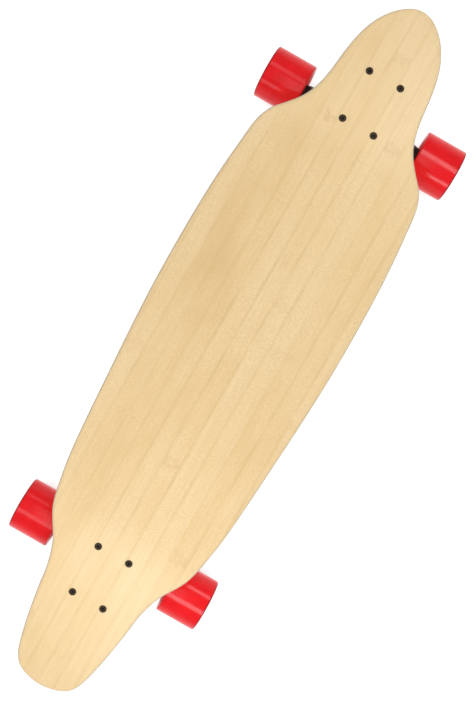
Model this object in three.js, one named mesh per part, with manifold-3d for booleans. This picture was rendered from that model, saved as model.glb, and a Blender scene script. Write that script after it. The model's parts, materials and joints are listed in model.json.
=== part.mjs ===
// Longboard skateboard: a laminated bamboo deck on two reverse-kingpin trucks with four urethane wheels.
// Millimetres. +X across the board, +Y towards the nose, +Z up. The origin is on the floor, at the middle
// of the board's length and width. "Left" and "right" are a rider's, looking at the nose.

import * as THREE from 'three';
import { mergeVertices } from 'three/addons/utils/BufferGeometryUtils.js';
import Module from 'manifold-3d';

const wasm = await Module();
wasm.setup();

// ---------------------------------------------------------------- driving dimensions

const GAP = 0.3;                    // clearance between touching pieces
const SMALL_SIDES = 12;             // flats around a bolt or a bolt hole
const AXLE_SIDES = 16;
const ROUND_SIDES = 20;             // flats around a bearing, bushing, washer or boss
const NOSE_TIP = 444;               // deck stations are measured from the midpoint between the trucks
const TAIL_TIP = -473.1;
const PATTERN_SPACING = 639.2;      // between the centres of the two bolt patterns
const DECK_THICKNESS = 11;
const CAMBER_RADIUS = 4550;         // the deck is one long arch
const RAIL_RISE = 3;                // concave: how far the rails stand above the flat middle
const FLAT_HALF_WIDTH = 60;
const WIDEST_HALF = 117;
const EDGE_ROUND = 3.5;             // rounding of the deck's edge

const BOLT_HALF_X = 41.28 / 2;      // the common four-bolt truck pattern
const BOLT_HALF_Y = 63.5 / 2;
const BOLT_RADIUS = 2.4;
const BOLT_HOLE_RADIUS = BOLT_RADIUS + GAP;
const BOLT_HEAD_RADIUS = 4.65;
const BOLT_LENGTH = 31;
const BOLT_SOCKET_RADIUS = 1.75;
const BOLT_SOCKET_DEPTH = 1.8;
const BOLT_SINK = 0.35;             // the heads sit this far below the deck's face
const COUNTERSINK_MARGIN = 0.1;     // the holes' mouths start this far above the bolt heads
const NUT_ACROSS_FLATS = 9.5;
const NUT_HEIGHT = 5;

const RISER = { width: 58, length: 84, thickness: 3, gap: 0.5 };
const PLATE = { width: 56, length: 84, thickness: 6, corner: 7 };

const KINGPIN_ANGLE = THREE.MathUtils.degToRad(45);
const RING_CENTRE_Y = 5.1;          // kingpin and steering axis meet here, measured in the pad's frame
const RING_CENTRE_Z = -48;
const AXLE_ALONG_KINGPIN = 10;      // the axle's offset from the steering axis: the truck's rake
const AXLE_ALONG_STEER = -26;

const RING = { radius: 14, hole: 7.5, half: 4 };
const KINGPIN = { radius: 4.76, headAcrossFlats: 14.3, headHeight: 6, seat: -30.7, end: 29 };
const KINGPIN_NUT = { acrossFlats: 14.3, height: 7 };
const BUSHING = {
  bore: KINGPIN.radius + GAP, radius: 13, rim: 12.3, nose: 10, boardside: 14.7, roadside: 12.7,
};
const WASHER = { radius: 13.2, thickness: 1.5 };
const BUSHING_SEAT = -21;           // face of the baseplate's slab, along the kingpin
const SLAB_BACK = -37;
const SLAB_HALF = 15;               // half-widths of the baseplate's hanging parts, across the board
const NECK_HALF = 11;
const RIB = { offset: 11, half: 2.5 };
const PIVOT_BOSS = { radius: 11.5, mouth: -39, back: -52 };
const PIVOT_CUP = { radius: 8, bore: 6, mouth: -38.5, floor: -46.5, back: -49.2 };
const PIVOT_NUB = { radius: 5.6, tip: -46 };

const HANGER_HALF = 90;             // a 180 mm hanger
const SPINE_HALF = 9;
const WEB = { foot: 46, top: 13, thickness: 7 };
const PIVOT_NUB_ROOT = -34;
const AXLE_RADIUS = 4;
const AXLE_HALF = 124;
const WHEEL_RADIUS = 33.6;
const WHEEL_SIDES = 32;
const WHEEL_INNER_FACE = 78.9;
const WHEEL_WIDTH = 52.8;
const TREAD_LIP = 1.6;              // rounding of the tread's two edges
const DISH = { radius: 25, rise: 1.2 };   // where a side face starts to fall in towards the core
const BEARING = { radius: 11, width: 6.4, inner: 91.3, spacer: 10 };
const CORE = {
  radius: 15.7, bore: 8.5, half: 12.3, middle: BEARING.inner + BEARING.width + BEARING.spacer / 2,
};
const AXLE_NUT = { acrossFlats: 12.7, height: 7 };

// Deck outline from the tail tip to the nose tip: [station, half-width].
const OUTLINE = [
  [TAIL_TIP, 0], [-464.5, 31.5], [-451, 42], [-426, 49.3], [-401, 54.3], [-365, 59.8], [-340, 62.8],
  [-316, 69.2], [-303.5, 74.4], [-291, 81.8], [-279, 88.6], [-267, 93.2], [-243, 98.4], [-207, 103.8],
  [-113, 110.3], [0, 116.2], [80, 117], [150, 115.2], [211, 110.3], [240, 106.6], [258, 99],
  [269.3, 89.7], [281, 79.8], [292.5, 72.1], [306, 66], [327, 61.2], [350, 58.5], [376, 54.8],
  [398, 48.6], [415, 40.2], [430, 28.2], [441, 13.1], [NOSE_TIP, 0],
];

const MID_Y = -(NOSE_TIP + TAIL_TIP) / 2;   // the trucks' midpoint, in the board's frame
const PAD_SLOPE = Math.asin(PATTERN_SPACING / 2 / CAMBER_RADIUS);

// ---------------------------------------------------------------- materials

function finish(color, roughness, metalness) {
  return new THREE.MeshStandardMaterial({ color, roughness, metalness });
}

const bamboo = finish(0xeccd9a, 0.5, 0);
const blackPaint = finish(0x17181a, 0.4, 0.5);
const blackSteel = finish(0x1b1b1d, 0.35, 0.8);
const brightSteel = finish(0xb9bcc0, 0.25, 1);
const redUrethane = finish(0xd91b20, 0.25, 0);
const blackPlastic = finish(0x202022, 0.5, 0);
const bushingUrethane = finish(0x2a2a2c, 0.45, 0);
const bearingSteel = finish(0xa9abb0, 0.3, 1);
const padRubber = finish(0x161617, 0.8, 0);

// ---------------------------------------------------------------- solid helpers

function toSolid(geometry) {
  const bare = geometry.clone();
  bare.deleteAttribute('normal');
  bare.deleteAttribute('uv');
  const merged = mergeVertices(bare, 1e-4);
  const vertProperties = new Float32Array(merged.attributes.position.array);
  const triVerts = new Uint32Array(merged.index.array);
  return new wasm.Manifold(new wasm.Mesh({ numProp: 3, vertProperties, triVerts }));
}

function toGeometry(solid) {
  const mesh = solid.getMesh();
  const geometry = new THREE.BufferGeometry();
  geometry.setAttribute('position', new THREE.BufferAttribute(new Float32Array(mesh.vertProperties), 3));
  geometry.setIndex(new THREE.BufferAttribute(new Uint32Array(mesh.triVerts), 1));
  return geometry;
}

function join(geometries) {
  return geometries.map(toSolid).reduce((all, next) => all.add(next));
}

function cut(solid, tools) {
  return tools.map(toSolid).reduce((left, tool) => left.subtract(tool), solid);
}

// A round solid about the local Y axis. The profile is [radius, height] pairs.
function turned(profile, sides, start = 0) {
  const points = profile.map(([radius, height]) => new THREE.Vector2(radius, height));
  return new THREE.LatheGeometry(points, sides, start);
}

// A tube about Y, from one height to another.
function tube(bore, radius, low, high, sides) {
  return turned([[bore, low], [radius, low], [radius, high], [bore, high], [bore, low]], sides);
}

function rod(radius, low, high, sides) {
  return turned([[0, low], [radius, low], [radius, high], [0, high]], sides);
}

function hexagonCorner(acrossFlats) {
  return acrossFlats / 2 / Math.cos(Math.PI / 6);
}

// A hexagonal prism about Y, with a round hole through it.
function hexNut(acrossFlats, bore, low, high) {
  const outer = rod(hexagonCorner(acrossFlats), low, high, 6);
  return toGeometry(cut(toSolid(outer), [rod(bore, low - 1, high + 1, SMALL_SIDES)]));
}

// A slab with a side profile of [along steering axis, along kingpin] points, as wide as 2 * half across X.
function sideSlab(profile, half) {
  const shape = new THREE.Shape(profile.map(([along, down]) => new THREE.Vector2(along, down)));
  const slab = new THREE.ExtrudeGeometry(shape, { depth: 2 * half, bevelEnabled: false });
  return slab.translate(0, 0, -half).rotateY(-Math.PI / 2);
}

function named(name, geometry, material) {
  const mesh = new THREE.Mesh(geometry, material);
  mesh.name = name;
  return mesh;
}

// ---------------------------------------------------------------- deck

const camberDrop = (station) => CAMBER_RADIUS - Math.sqrt(CAMBER_RADIUS ** 2 - station ** 2);

function railRise(x) {
  const past = Math.max(0, Math.abs(x) - FLAT_HALF_WIDTH) / (WIDEST_HALF - FLAT_HALF_WIDTH);
  return RAIL_RISE * past * past;
}

function outlineCurve() {
  const right = OUTLINE.map(([station, half]) => new THREE.Vector3(half, station, 0));
  const left = right.slice(1, -1).reverse().map((point) => new THREE.Vector3(-point.x, point.y, 0));
  return new THREE.CatmullRomCurve3([...right, ...left], true, 'centripetal');
}

// A finely divided box, warped: its length follows the outline curve, its sides become the rounded edge,
// and its faces take the camber and the concave. Heights are measured from the top face at the middle.
function deckBlank() {
  const columns = 6;
  const rows = 2 * (OUTLINE.length - 1);
  const levels = 4;
  const tipShare = 0.06;            // the tips end in a narrow flat, this share of one outline step
  const curve = outlineCurve();
  const halfLap = (OUTLINE.length - 1) / curve.points.length;
  const tip = halfLap * tipShare / (OUTLINE.length - 1);
  const blank = new THREE.BoxGeometry(2, 1, 2, columns, rows, levels);
  const position = blank.attributes.position;
  const halfLength = (NOSE_TIP - TAIL_TIP) / 2;
  for (let i = 0; i < position.count; i += 1) {
    const lap = tip + (position.getY(i) + 0.5) * (halfLap - 2 * tip);
    const place = curve.getPoint(lap);
    const turn = position.getZ(i) * Math.PI / 2;
    const inset = EDGE_ROUND * (1 - Math.cos(turn));
    const shrink = (halfLength - inset) / halfLength;
    const station = (place.y + MID_Y) * shrink - MID_Y;
    const x = position.getX(i) * Math.max(place.x - inset, 1);
    const height = DECK_THICKNESS / 2 * (Math.sin(turn) - 1);
    position.setXYZ(i, x, station, height + railRise(x) - camberDrop(station));
  }
  return blank;
}

// Tool for one bolt hole: a straight bore with a countersink at the top. Y runs up the bolt.
function boltHole() {
  const mouth = BOLT_HEAD_RADIUS + GAP + 0.2;
  const above = 3;
  return turned([
    [0, -DECK_THICKNESS - above],
    [BOLT_HOLE_RADIUS, -DECK_THICKNESS - above],
    [BOLT_HOLE_RADIUS, BOLT_HOLE_RADIUS - mouth],
    [mouth, 0],
    [mouth, above],
    [0, above],
  ], SMALL_SIDES);
}

// ---------------------------------------------------------------- frames for the trucks

// The pad frame of a truck: its origin is on the deck's underside at the middle of the bolt pattern, +Y
// points outboard and +Z is the deck's own normal. The rear truck is the front one turned half round.
function padMatrix(end) {
  const station = PATTERN_SPACING / 2;
  const down = DECK_THICKNESS * Math.cos(PAD_SLOPE);
  const top = new THREE.Vector3(0, station, -camberDrop(station));
  const origin = top.add(new THREE.Vector3(0, -Math.sin(PAD_SLOPE) * down, -Math.cos(PAD_SLOPE) * down));
  const frame = new THREE.Matrix4().makeRotationX(-PAD_SLOPE).setPosition(origin);
  if (end === 'rear') {
    frame.premultiply(new THREE.Matrix4().makeRotationZ(Math.PI));
  }
  return frame;
}

// The steer frame inside the pad frame: +Y runs down the kingpin and +Z up the steering axis.
const steerInPad = new THREE.Matrix4()
  .makeRotationX(-KINGPIN_ANGLE)
  .setPosition(0, RING_CENTRE_Y, RING_CENTRE_Z);

const axleInSteer = new THREE.Vector3(0, AXLE_ALONG_KINGPIN, AXLE_ALONG_STEER);
const axleBelowDeck = axleInSteer.clone().applyMatrix4(steerInPad).applyMatrix4(padMatrix('front'));
const AXLE_HEIGHT = WHEEL_RADIUS * Math.cos(Math.PI / WHEEL_SIDES);   // a flat of the tread is on the floor
const DECK_TOP = AXLE_HEIGHT - axleBelowDeck.z;
const BOLT_HEAD_TOP = DECK_THICKNESS * Math.cos(PAD_SLOPE) - BOLT_SINK;

function makeDeck() {
  const holes = [];
  for (const end of ['front', 'rear']) {
    for (const [x, y] of boltPlaces()) {
      const hole = boltHole().rotateX(Math.PI / 2);
      hole.translate(x, y, BOLT_HEAD_TOP + COUNTERSINK_MARGIN);
      holes.push(hole.applyMatrix4(padMatrix(end)));
    }
  }
  return named('deck', toGeometry(cut(toSolid(deckBlank()), holes)), bamboo);
}

function boltPlaces() {
  const places = [];
  for (const y of [BOLT_HALF_Y, -BOLT_HALF_Y]) {
    for (const x of [-BOLT_HALF_X, BOLT_HALF_X]) {
      places.push([x, y]);
    }
  }
  return places;
}

// ---------------------------------------------------------------- truck hardware, in the pad frame

const RISER_LOW = -RISER.gap - RISER.thickness;
const PLATE_TOP = RISER_LOW - GAP;
const PLATE_LOW = PLATE_TOP - PLATE.thickness;

function roundedPlate(width, length, low, thickness, corner) {
  const shape = new THREE.Shape();
  const x = width / 2;
  const y = length / 2;
  shape.moveTo(x, corner - y);
  shape.lineTo(x, y - corner);
  shape.absarc(x - corner, y - corner, corner, 0, Math.PI / 2);
  shape.absarc(corner - x, y - corner, corner, Math.PI / 2, Math.PI);
  shape.absarc(corner - x, corner - y, corner, Math.PI, Math.PI * 1.5);
  shape.absarc(x - corner, corner - y, corner, Math.PI * 1.5, Math.PI * 2);
  const settings = { depth: thickness, bevelEnabled: false, curveSegments: 3 };
  return new THREE.ExtrudeGeometry(shape, settings).translate(0, 0, low);
}

function verticalBores(radius, low, high) {
  return boltPlaces().map(([x, y]) => {
    const bore = rod(radius, low, high, SMALL_SIDES).rotateX(Math.PI / 2);
    return bore.translate(x, y, 0);
  });
}

function makeRiserPad() {
  const blank = roundedPlate(RISER.width, RISER.length, RISER_LOW, RISER.thickness, PLATE.corner);
  return toGeometry(cut(toSolid(blank), verticalBores(BOLT_HOLE_RADIUS, RISER_LOW - 1, 1)));
}

// Baseplate: a flat plate, a slab that hangs from it at the kingpin's angle, a boss for the pivot cup at
// the slab's low end, and two ribs behind the slab.
function makeBaseplate() {
  const slabTopOutboard = 33.3;
  const slabTopInboard = 17.2;
  const slab = sideSlab([
    [slabTopOutboard, BUSHING_SEAT], [slabTopInboard, SLAB_BACK], [-20, SLAB_BACK], [-30, -28],
    [-30, -14], [-15, BUSHING_SEAT],
  ], SLAB_HALF);
  const neck = sideSlab([
    [-16, BUSHING_SEAT], [-16, -34], [PIVOT_BOSS.back, -12], [PIVOT_BOSS.back, 0], [PIVOT_BOSS.mouth, 0],
    [PIVOT_BOSS.mouth, -12], [-27, -12],
  ], NECK_HALF);
  const boss = rod(PIVOT_BOSS.radius, PIVOT_BOSS.back, PIVOT_BOSS.mouth, ROUND_SIDES).rotateX(Math.PI / 2);
  const ribProfile = [
    [slabTopInboard + 3, SLAB_BACK - 3], [-0.4, -54.9], [-5, -54.5], [-24, -38], [-26, -31], [-12, -33],
    [slabTopInboard, -33],
  ];
  const ribs = [-1, 1].map((side) => sideSlab(ribProfile, RIB.half).translate(side * RIB.offset, 0, 0));
  const hanging = [slab, neck, boss, ...ribs].map((piece) => piece.applyMatrix4(steerInPad));
  const plate = roundedPlate(PLATE.width, PLATE.length, PLATE_LOW, PLATE.thickness, PLATE.corner);
  const headPocket = rod(hexagonCorner(KINGPIN.headAcrossFlats) + GAP, -60, KINGPIN.seat, 6);
  const kingpinBore = rod(KINGPIN.radius + GAP, -40, BUSHING_SEAT + 1, ROUND_SIDES);
  const cupPocket = rod(PIVOT_CUP.radius + GAP, PIVOT_CUP.back - GAP, PIVOT_BOSS.mouth + 2, ROUND_SIDES);
  cupPocket.rotateX(Math.PI / 2);
  const hollows = [headPocket, kingpinBore, cupPocket].map((tool) => tool.applyMatrix4(steerInPad));
  const above = roundedPlate(2 * PLATE.width, 2 * PLATE.length, PLATE_TOP, PLATE.length, PLATE.corner);
  const bores = verticalBores(BOLT_HOLE_RADIUS, PLATE_LOW - 2, PLATE_TOP + 1);
  return toGeometry(cut(join([plate, ...hanging]), [...hollows, ...bores, above]));
}

function makeBolt() {
  const shaft = turned([
    [0, -BOLT_LENGTH],
    [BOLT_RADIUS, -BOLT_LENGTH],
    [BOLT_RADIUS, BOLT_RADIUS - BOLT_HEAD_RADIUS],
    [BOLT_HEAD_RADIUS, 0],
    [0, 0],
  ], SMALL_SIDES);
  const socket = rod(BOLT_SOCKET_RADIUS, -BOLT_SOCKET_DEPTH, 1, 6);
  return toGeometry(cut(toSolid(shaft), [socket])).rotateX(Math.PI / 2);
}

function addPadPieces(pad, end) {
  pad.add(named(`${end}_riser_pad`, makeRiserPad(), padRubber));
  pad.add(named(`${end}_baseplate`, makeBaseplate(), blackPaint));
  boltPlaces().forEach(([x, y], index) => {
    const bolt = named(`${end}_bolt_${index + 1}`, makeBolt(), blackSteel);
    bolt.position.set(x, y, BOLT_HEAD_TOP);
    const nutShape = hexNut(NUT_ACROSS_FLATS, BOLT_HOLE_RADIUS, -NUT_HEIGHT, 0).rotateX(Math.PI / 2);
    const nut = named(`${end}_nut_${index + 1}`, nutShape, blackSteel);
    nut.position.set(x, y, PLATE_LOW - GAP);
    pad.add(bolt, nut);
  });
}

// ---------------------------------------------------------------- steering pieces, in the steer frame

const HANGER_TOP = -RING.half - GAP;
const BOARDSIDE_END = HANGER_TOP - BUSHING.boardside;
const ROADSIDE_START = RING.half + GAP;
const ROADSIDE_END = ROADSIDE_START + BUSHING.roadside;
const ROAD_WASHER_END = ROADSIDE_END + GAP + WASHER.thickness;

function makePivotCup() {
  const cup = turned([
    [0, PIVOT_CUP.back], [PIVOT_CUP.radius, PIVOT_CUP.back], [PIVOT_CUP.radius, PIVOT_CUP.mouth],
    [PIVOT_CUP.bore, PIVOT_CUP.mouth], [PIVOT_CUP.bore, PIVOT_CUP.floor], [0, PIVOT_CUP.floor],
  ], ROUND_SIDES);
  return cup.rotateX(Math.PI / 2);
}

function makeKingpin() {
  const headTop = KINGPIN.seat - GAP - KINGPIN.headHeight;
  const head = rod(hexagonCorner(KINGPIN.headAcrossFlats), headTop, KINGPIN.seat - GAP, 6);
  const shaft = rod(KINGPIN.radius, KINGPIN.seat - GAP - 1, KINGPIN.end, ROUND_SIDES);
  return toGeometry(join([head, shaft]));
}

// Boardside bushings are barrels; roadside ones are cones, narrow at the nut.
function makeBoardsideBushing() {
  const middle = (HANGER_TOP + BOARDSIDE_END) / 2;
  return turned([
    [BUSHING.bore, BOARDSIDE_END], [BUSHING.rim, BOARDSIDE_END], [BUSHING.radius, middle],
    [BUSHING.rim, HANGER_TOP], [BUSHING.bore, HANGER_TOP], [BUSHING.bore, BOARDSIDE_END],
  ], ROUND_SIDES);
}

function makeRoadsideBushing() {
  return turned([
    [BUSHING.bore, ROADSIDE_START], [BUSHING.radius, ROADSIDE_START], [BUSHING.nose, ROADSIDE_END],
    [BUSHING.bore, ROADSIDE_END], [BUSHING.bore, ROADSIDE_START],
  ], ROUND_SIDES);
}

// Hanger: a turned beam around the axle, a ring for the bushings, a delta-shaped web that joins the two,
// and the pivot nub that sits in the cup.
function makeHanger() {
  const half = [
    [9.2, HANGER_HALF], [9.4, 79], [10.8, 73], [10.8, 58], [9.8, 44], [11, 22],
  ];
  const mirrored = half.map(([radius, x]) => [radius, -x]).reverse();
  const beam = turned([[0, HANGER_HALF], ...half, ...mirrored, [0, -HANGER_HALF]].reverse(), ROUND_SIDES);
  beam.rotateZ(-Math.PI / 2).translate(0, AXLE_ALONG_KINGPIN, AXLE_ALONG_STEER);
  const ring = rod(RING.radius, -RING.half, RING.half, ROUND_SIDES);
  const spine = sideSlab([
    [-6, -RING.half], [-6, RING.half], [-14.2, RING.half], [-17, 15], [-28, 17], [-38, 8], [-38, -5.5],
    [-28, -6.5], [-15, -RING.half],
  ], SPINE_HALF);
  const deltaShape = new THREE.Shape([
    new THREE.Vector2(-WEB.foot, AXLE_ALONG_STEER + AXLE_RADIUS),
    new THREE.Vector2(-WEB.foot, AXLE_ALONG_STEER - AXLE_RADIUS),
    new THREE.Vector2(WEB.foot, AXLE_ALONG_STEER - AXLE_RADIUS),
    new THREE.Vector2(WEB.foot, AXLE_ALONG_STEER + AXLE_RADIUS),
    new THREE.Vector2(WEB.top, -2),
    new THREE.Vector2(-WEB.top, -2),
  ]);
  const delta = new THREE.ExtrudeGeometry(deltaShape, { depth: WEB.thickness, bevelEnabled: false });
  delta.rotateX(Math.PI / 2).translate(0, RING.half, 0);
  const nub = turned([
    [0, PIVOT_NUB.tip], [PIVOT_NUB.radius * 0.6, PIVOT_NUB.tip],
    [PIVOT_NUB.radius, PIVOT_NUB.tip + 3], [PIVOT_NUB.radius, PIVOT_NUB_ROOT], [0, PIVOT_NUB_ROOT],
  ], ROUND_SIDES).rotateX(Math.PI / 2);
  const bore = rod(RING.hole, -10, 10, ROUND_SIDES);
  const axleBore = rod(AXLE_RADIUS + GAP, -HANGER_HALF - 1, HANGER_HALF + 1, AXLE_SIDES);
  axleBore.rotateZ(-Math.PI / 2).translate(0, AXLE_ALONG_KINGPIN, AXLE_ALONG_STEER);
  return toGeometry(cut(join([beam, ring, spine, delta, nub]), [bore, axleBore]));
}

function makeAxle() {
  const chamfer = 0.8;
  const axle = turned([
    [0, -AXLE_HALF], [AXLE_RADIUS - chamfer, -AXLE_HALF], [AXLE_RADIUS, chamfer - AXLE_HALF],
    [AXLE_RADIUS, AXLE_HALF - chamfer], [AXLE_RADIUS - chamfer, AXLE_HALF], [0, AXLE_HALF],
  ], AXLE_SIDES);
  return axle.rotateZ(-Math.PI / 2).translate(0, AXLE_ALONG_KINGPIN, AXLE_ALONG_STEER);
}

function addSteerPieces(steer, end) {
  const bore = KINGPIN.radius + GAP;
  const nutEnd = ROAD_WASHER_END + GAP + KINGPIN_NUT.height;
  const pieces = {
    pivot_cup: [makePivotCup(), blackPlastic],
    kingpin: [makeKingpin(), blackSteel],
    kingpin_nut: [hexNut(KINGPIN_NUT.acrossFlats, bore, ROAD_WASHER_END + GAP, nutEnd), blackSteel],
    boardside_bushing: [makeBoardsideBushing(), bushingUrethane],
    roadside_bushing: [makeRoadsideBushing(), bushingUrethane],
    boardside_washer: [
      tube(bore, WASHER.radius, BUSHING_SEAT + GAP, BOARDSIDE_END - GAP, ROUND_SIDES), blackSteel,
    ],
    roadside_washer: [
      tube(bore, BUSHING.nose + 1, ROADSIDE_END + GAP, ROAD_WASHER_END, ROUND_SIDES), blackSteel,
    ],
    hanger: [makeHanger(), blackPaint],
    axle: [makeAxle(), brightSteel],
  };
  for (const [name, [geometry, material]] of Object.entries(pieces)) {
    steer.add(named(`${end}_${name}`, geometry, material));
  }
}

// ---------------------------------------------------------------- wheels

// A wheel is built about X with +X outboard and its origin on the axle at the board's centreline.
function tyreProfile() {
  const inner = WHEEL_INNER_FACE;
  const outer = WHEEL_INNER_FACE + WHEEL_WIDTH;
  const core = CORE.radius + GAP;
  const coreLow = CORE.middle - CORE.half;
  const coreHigh = CORE.middle + CORE.half;
  const lipTurns = [0, 1, 2];
  const arc = (x, side) => lipTurns.map((step) => {
    const turn = step * Math.PI / 2 / (lipTurns.length - 1);
    const radius = WHEEL_RADIUS - TREAD_LIP * (1 - Math.sin(turn));
    return [radius, x + side * TREAD_LIP * Math.cos(turn)];
  });
  const innerSide = [[core, coreLow], [core + 2, coreLow - 1], [DISH.radius, inner + DISH.rise]];
  const outerSide = [[DISH.radius, outer - DISH.rise], [core + 2, coreHigh + 1], [core, coreHigh]];
  const innerLip = arc(inner + TREAD_LIP, -1);
  const outerLip = arc(outer - TREAD_LIP, 1).reverse();
  return [...innerSide, ...innerLip, ...outerLip, ...outerSide, innerSide[0]];
}

function makeCore() {
  const { middle } = CORE;
  const seat = BEARING.radius + GAP;
  const shoulder = BEARING.spacer / 2 - GAP;
  return turned([
    [CORE.radius, middle - CORE.half], [CORE.radius, middle + CORE.half], [seat, middle + CORE.half],
    [seat, middle + shoulder], [CORE.bore, middle + shoulder], [CORE.bore, middle - shoulder],
    [seat, middle - shoulder], [seat, middle - CORE.half], [CORE.radius, middle - CORE.half],
  ], ROUND_SIDES);
}

function addWheel(upright, end, side) {
  const bore = AXLE_RADIUS + GAP;
  const bearing = (start) => tube(bore, BEARING.radius, start, start + BEARING.width, ROUND_SIDES);
  const outerBearing = BEARING.inner + BEARING.width + BEARING.spacer;
  const nutStart = outerBearing + BEARING.width + 1 + GAP;
  const wheel = new THREE.Group();
  const halfFlat = Math.PI / WHEEL_SIDES;
  const pieces = {
    tyre: [turned(tyreProfile(), WHEEL_SIDES, halfFlat), redUrethane],
    core: [makeCore(), blackPlastic],
    inner_bearing: [bearing(BEARING.inner), bearingSteel],
    outer_bearing: [bearing(outerBearing), bearingSteel],
    axle_nut: [hexNut(AXLE_NUT.acrossFlats, bore, nutStart, nutStart + AXLE_NUT.height), brightSteel],
  };
  for (const [name, [geometry, material]] of Object.entries(pieces)) {
    wheel.add(named(`${end}_${side}_${name}`, geometry.rotateZ(-Math.PI / 2), material));
  }
  const outboard = (side === 'right') === (end === 'front') ? 1 : -1;
  wheel.rotation.z = outboard > 0 ? 0 : Math.PI;
  wheel.position.copy(axleBelowDeck);
  upright.add(wheel);
}

// ---------------------------------------------------------------- assembly

function makeTruck(end) {
  const truck = new THREE.Group();
  truck.rotation.z = end === 'rear' ? Math.PI : 0;
  const pad = new THREE.Group();
  pad.applyMatrix4(padMatrix('front'));
  const steer = new THREE.Group();
  steer.applyMatrix4(steerInPad);
  addPadPieces(pad, end);
  addSteerPieces(steer, end);
  pad.add(steer);
  truck.add(pad);
  addWheel(truck, end, 'left');
  addWheel(truck, end, 'right');
  return truck;
}

const longboard = new THREE.Group();
longboard.position.set(0, MID_Y, DECK_TOP);
longboard.add(makeDeck());
longboard.add(makeTruck('front'));
longboard.add(makeTruck('rear'));

export default longboard;
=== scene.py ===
"""Longboard skateboard: the visual model and a plain studio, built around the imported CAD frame.

Blender 4.5, in metres. +X is across the board, +Y towards the nose, +Z up, and the floor is at z = 0.
Every piece is placed by measuring the CAD node that it stands for.
"""

import json
import math

import bmesh
import bpy
import numpy as np
from mathutils import Matrix, Vector


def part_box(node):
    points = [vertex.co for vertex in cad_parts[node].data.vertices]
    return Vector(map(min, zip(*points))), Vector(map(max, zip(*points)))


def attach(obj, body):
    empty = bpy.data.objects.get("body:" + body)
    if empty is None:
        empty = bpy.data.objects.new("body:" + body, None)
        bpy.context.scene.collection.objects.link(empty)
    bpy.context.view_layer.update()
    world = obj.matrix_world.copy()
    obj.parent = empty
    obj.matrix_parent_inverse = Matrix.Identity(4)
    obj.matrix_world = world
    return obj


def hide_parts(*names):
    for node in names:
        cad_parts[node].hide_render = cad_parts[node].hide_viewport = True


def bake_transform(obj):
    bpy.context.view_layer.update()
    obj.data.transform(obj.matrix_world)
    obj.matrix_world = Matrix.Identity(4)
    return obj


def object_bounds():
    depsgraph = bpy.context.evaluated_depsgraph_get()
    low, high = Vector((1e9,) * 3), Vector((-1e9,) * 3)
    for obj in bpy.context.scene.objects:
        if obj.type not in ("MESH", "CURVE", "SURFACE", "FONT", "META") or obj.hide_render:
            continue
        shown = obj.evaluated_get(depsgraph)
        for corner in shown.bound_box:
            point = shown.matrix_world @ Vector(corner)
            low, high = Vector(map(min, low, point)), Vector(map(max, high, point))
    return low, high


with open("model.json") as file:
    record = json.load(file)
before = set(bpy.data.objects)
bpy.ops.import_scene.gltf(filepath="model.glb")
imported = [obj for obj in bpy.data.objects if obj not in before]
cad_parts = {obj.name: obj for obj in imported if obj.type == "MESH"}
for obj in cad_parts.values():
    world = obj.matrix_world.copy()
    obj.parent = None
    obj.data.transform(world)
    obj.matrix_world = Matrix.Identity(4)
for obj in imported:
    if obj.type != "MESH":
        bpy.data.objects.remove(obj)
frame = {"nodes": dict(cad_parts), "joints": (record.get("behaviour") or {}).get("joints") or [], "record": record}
cad_low, cad_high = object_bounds()

MM = 0.001
ENDS = {"front": 1, "rear": -1}          # the sign of +Y outboard
SIDES = {"left": -1, "right": 1}         # the sign of +X outboard
ACROSS = Vector((1, 0, 0))
UP = Vector((0, 0, 1))

joints = {joint["name"]: joint for joint in frame["joints"]}
mounts = {mount["name"]: mount for mount in frame["record"]["mounts"]}

# ------------------------------------------------------------------ driving dimensions

DECK_THICKNESS = 11 * MM
CAMBER_RADIUS = 4550 * MM                # the deck is one long arch
RAIL_RISE = 3 * MM                       # concave: how far the rails stand above the flat middle
FLAT_HALF_WIDTH = 60 * MM
EDGE_ROUND = 3.5 * MM
DECK_STATIONS = 260                      # rows of faces from the tail tip to the nose tip
DECK_COLUMNS = 36
EDGE_STEPS = 10

STRIP_WIDTH = 21.2 * MM                  # bamboo strips that the face is glued up from
STRIP_START = -4.3 * MM
STRIP_TONES = (0.3, 0.2, 0.85, 0.9, 0.75, 0.5, 0.35, 0.1, 0.15, 0.7, 0.5, 0.4)    # left to right, 1 is dark
KNUCKLE_SPACING = 270 * MM               # between the growth rings of one bamboo strip
GRIP_HALF_LENGTH = 285 * MM              # the clear grip coat covers the standing area

SOCKET_ACROSS = 3.6 * MM                 # hex socket in the truck bolts
SOCKET_DEPTH = 2.1 * MM
BOLT_SHANK = 2.35 * MM
BOLT_THREAD = 9 * MM
BOLT_HOLE = 2.75 * MM
COUNTERSINK_GAP = 0.35 * MM              # round and above a bolt's head
BOLT_NUT_ACROSS, BOLT_NUT_BORE = 9.5 * MM, 2.45 * MM
THREAD_PITCH = 0.9 * MM

NUT_WAIST, NUT_COLLAR = 0.95, 0.86       # radii of a lock nut's chamfer and collar, by half its width
NUT_SHOULDER = 0.72                      # share of a lock nut's height under its collar
NYLON_WALL = 0.9 * MM

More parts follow.
